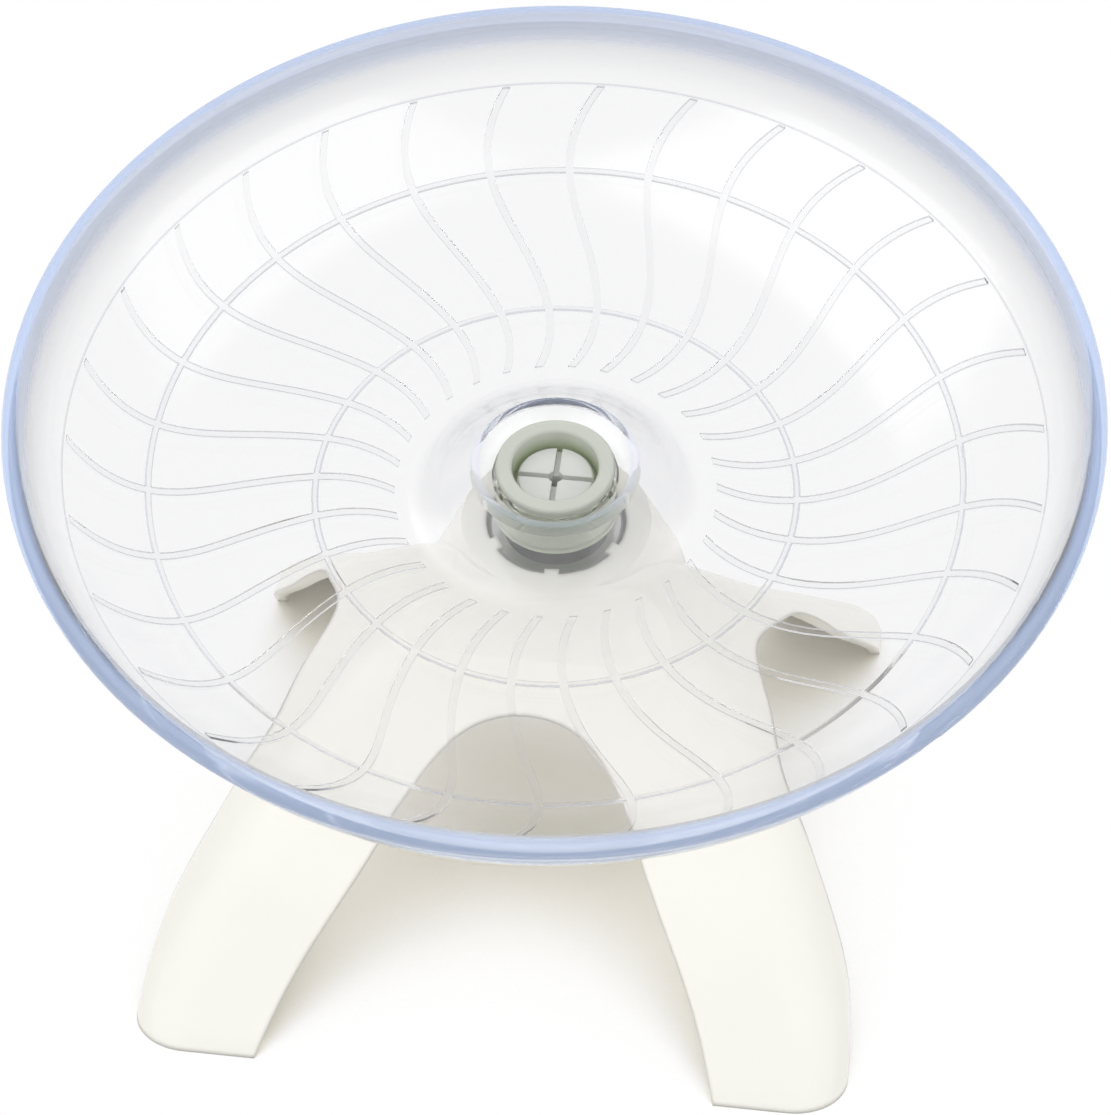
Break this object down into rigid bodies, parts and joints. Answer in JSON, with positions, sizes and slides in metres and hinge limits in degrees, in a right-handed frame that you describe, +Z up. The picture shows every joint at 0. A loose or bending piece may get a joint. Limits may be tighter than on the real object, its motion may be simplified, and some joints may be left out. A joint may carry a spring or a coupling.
{
  "type": "flying saucer exercise wheel",
  "caption": "Tilted clear dish with S-shaped ribs that spins on a sealed ball bearing in a white arched stand, for a small pet to run on.",
  "frame": {"origin": "on the floor under the middle of the whole wheel's outline", "axes": "+Z up, +X to the right, the low side of the tilted dish faces -Y"},
  "size_m": [0.175, 0.1647, 0.1128],
  "materials": {
    "clear_plastic": "clear gloss",
    "green_plastic": "pale green, translucent",
    "clear_pin": "clear",
    "bearing_steel": "ground steel",
    "ball_steel": "polished",
    "cage_plastic": "brown nylon",
    "seal_rubber": "black",
    "white_plastic": "glossy, warm white"
  },
  "bodies": {
    "base": {"stand": "white_plastic", "bearing_outer_race": "bearing_steel", "bearing_seal_upper": "seal_rubber", "bearing_seal_lower": "seal_rubber"},
    "spinner": {"saucer": "clear_plastic", "hub_sleeve": "green_plastic", "axle_pin": "clear_pin", "bearing_inner_race": "bearing_steel"},
    "cage": {"bearing_cage": "cage_plastic", "bearing_balls": "ball_steel"}
  },
  "joints": [
    {"name": "saucer_spin", "type": "hinge", "parent": "base", "child": "spinner", "pos_m": [0, 0.00827, 0.05906], "axis": [0, -0.342, 0.9397], "continuous": true},
    {"name": "cage_spin", "type": "hinge", "parent": "base", "child": "cage", "pos_m": [0, 0.00827, 0.05906], "axis": [0, -0.342, 0.9397], "continuous": true}
  ],
  "couplings": [
    {"joint": "cage_spin", "follows": "saucer_spin", "ratio": 0.368}
  ]
}
